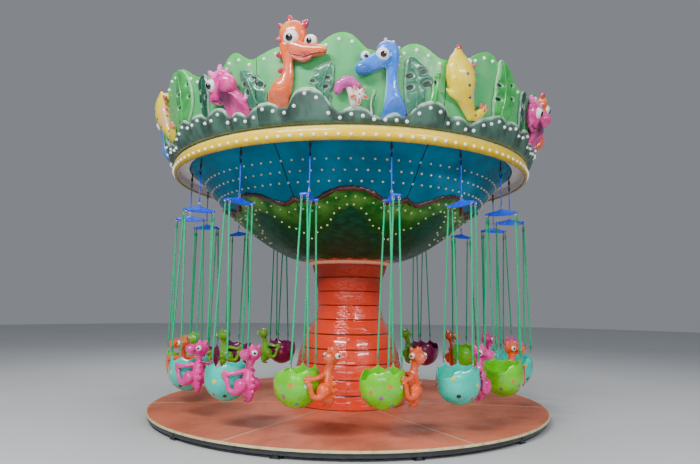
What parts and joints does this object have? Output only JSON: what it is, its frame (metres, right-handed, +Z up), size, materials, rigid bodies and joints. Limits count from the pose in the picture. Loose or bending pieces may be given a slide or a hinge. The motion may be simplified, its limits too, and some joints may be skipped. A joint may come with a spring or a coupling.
{
  "type": "chair swing ride",
  "caption": "Children's chair swing ride: egg-shaped bucket seats with young dinosaurs hang on ropes from a turning, domed canopy on a central column, over a round deck",
  "frame": {"origin": "on the ground, on the column's axis", "axes": "+Z up along the column, -Y the side seen in the picture, +X to its right"},
  "size_m": [6.207, 6.207, 4.91],
  "materials": {
    "deck": "worn matt paint",
    "frame_steel": "matt paint",
    "mast_steel": "bare steel",
    "column_orange": "gloss gel coat",
    "bowl_green": "gloss gel coat",
    "bowl_blue": "gloss gel coat",
    "sweep_black": "satin paint",
    "ring_yellow": "satin paint",
    "roof_green": "satin gel coat",
    "crown_green": "gloss gel coat",
    "hanger_blue": "satin paint",
    "egg_lime": "gloss gel coat",
    "egg_turquoise": "gloss gel coat",
    "egg_purple": "gloss gel coat"
  },
  "bodies": {
    "base": {"deck": "deck", "base_frame": "frame_steel", "mast": "mast_steel", "column_cladding": "column_orange", "column_collar": "column_orange"},
    "canopy": {"bowl_lower": "bowl_green", "bowl_upper": "bowl_blue", "sweep_frame": "sweep_black", "light_ring": "ring_yellow", "roof_cover": "roof_green", "crown_panel_1": "crown_green", "crown_panel_2": "crown_green", "crown_panel_3": "crown_green", "crown_panel_4": "crown_green", "crown_panel_5": "crown_green", "crown_panel_6": "crown_green", "crown_panel_7": "crown_green", "crown_panel_8": "crown_green"},
    "swing_01": {"seat_hanger_01": "hanger_blue", "egg_seat_01": "egg_lime"},
    "swing_02": {"seat_hanger_02": "hanger_blue", "egg_seat_02": "egg_turquoise"},
    "swing_03": {"seat_hanger_03": "hanger_blue", "egg_seat_03": "egg_lime"},
    "swing_04": {"seat_hanger_04": "hanger_blue", "egg_seat_04": "egg_turquoise"},
    "swing_05": {"seat_hanger_05": "hanger_blue", "egg_seat_05": "egg_turquoise"},
    "swing_06": {"seat_hanger_06": "hanger_blue", "egg_seat_06": "egg_lime"},
    "swing_07": {"seat_hanger_07": "hanger_blue", "egg_seat_07": "egg_purple"},
    "swing_08": {"seat_hanger_08": "hanger_blue", "egg_seat_08": "egg_turquoise"},
    "swing_09": {"seat_hanger_09": "hanger_blue", "egg_seat_09": "egg_lime"},
    "swing_10": {"seat_hanger_10": "hanger_blue", "egg_seat_10": "egg_purple"},
    "swing_11": {"seat_hanger_11": "hanger_blue", "egg_seat_11": "egg_purple"},
    "swing_12": {"seat_hanger_12": "hanger_blue", "egg_seat_12": "egg_purple"},
    "swing_13": {"seat_hanger_13": "hanger_blue", "egg_seat_13": "egg_lime"},
    "swing_14": {"seat_hanger_14": "hanger_blue", "egg_seat_14": "egg_turquoise"},
    "swing_15": {"seat_hanger_15": "hanger_blue", "egg_seat_15": "egg_turquoise"},
    "swing_16": {"seat_hanger_16": "hanger_blue", "egg_seat_16": "egg_lime"}
  },
  "joints": [
    {"name": "canopy_spin", "type": "hinge", "parent": "base", "child": "canopy", "pos_m": [0, 0, 3.66], "axis": [0, 0, 1], "continuous": true},
    {"name": "swing_01_out", "type": "hinge", "parent": "canopy", "child": "swing_01", "pos_m": [0.4936, -2.4814, 3.46], "axis": [-0.9808, -0.1951, 0], "range_deg": [-5, 30]},
    {"name": "swing_02_out", "type": "hinge", "parent": "canopy", "child": "swing_02", "pos_m": [1.4056, -2.1036, 3.46], "axis": [-0.8315, -0.5556, 0], "range_deg": [-5, 30]},
    {"name": "swing_03_out", "type": "hinge", "parent": "canopy", "child": "swing_03", "pos_m": [2.1036, -1.4056, 3.46], "axis": [-0.5556, -0.8315, 0], "range_deg": [-5, 30]},
    {"name": "swing_04_out", "type": "hinge", "parent": "canopy", "child": "swing_04", "pos_m": [2.4814, -0.4936, 3.46], "axis": [-0.1951, -0.9808, 0], "range_deg": [-5, 30]},
    {"name": "swing_05_out", "type": "hinge", "parent": "canopy", "child": "swing_05", "pos_m": [2.4814, 0.4936, 3.46], "axis": [0.1951, -0.9808, 0], "range_deg": [-5, 30]},
    {"name": "swing_06_out", "type": "hinge", "parent": "canopy", "child": "swing_06", "pos_m": [2.1036, 1.4056, 3.46], "axis": [0.5556, -0.8315, 0], "range_deg": [-5, 30]},
    {"name": "swing_07_out", "type": "hinge", "parent": "canopy", "child": "swing_07", "pos_m": [1.4056, 2.1036, 3.46], "axis": [0.8315, -0.5556, 0], "range_deg": [-5, 30]},
    {"name": "swing_08_out", "type": "hinge", "parent": "canopy", "child": "swing_08", "pos_m": [0.4936, 2.4814, 3.46], "axis": [0.9808, -0.1951, 0], "range_deg": [-5, 30]},
    {"name": "swing_09_out", "type": "hinge", "parent": "canopy", "child": "swing_09", "pos_m": [-0.4936, 2.4814, 3.46], "axis": [0.9808, 0.1951, 0], "range_deg": [-5, 30]},
    {"name": "swing_10_out", "type": "hinge", "parent": "canopy", "child": "swing_10", "pos_m": [-1.4056, 2.1036, 3.46], "axis": [0.8315, 0.5556, 0], "range_deg": [-5, 30]},
    {"name": "swing_11_out", "type": "hinge", "parent": "canopy", "child": "swing_11", "pos_m": [-2.1036, 1.4056, 3.46], "axis": [0.5556, 0.8315, 0], "range_deg": [-5, 30]},
    {"name": "swing_12_out", "type": "hinge", "parent": "canopy", "child": "swing_12", "pos_m": [-2.4814, 0.4936, 3.46], "axis": [0.1951, 0.9808, 0], "range_deg": [-5, 30]},
    {"name": "swing_13_out", "type": "hinge", "parent": "canopy", "child": "swing_13", "pos_m": [-2.4814, -0.4936, 3.46], "axis": [-0.1951, 0.9808, 0], "range_deg": [-5, 30]},
    {"name": "swing_14_out", "type": "hinge", "parent": "canopy", "child": "swing_14", "pos_m": [-2.1036, -1.4056, 3.46], "axis": [-0.5556, 0.8315, 0], "range_deg": [-5, 30]},
    {"name": "swing_15_out", "type": "hinge", "parent": "canopy", "child": "swing_15", "pos_m": [-1.4056, -2.1036, 3.46], "axis": [-0.8315, 0.5556, 0], "range_deg": [-5, 30]},
    {"name": "swing_16_out", "type": "hinge", "parent": "canopy", "child": "swing_16", "pos_m": [-0.4936, -2.4814, 3.46], "axis": [-0.9808, 0.1951, 0], "range_deg": [-5, 30]}
  ]
}
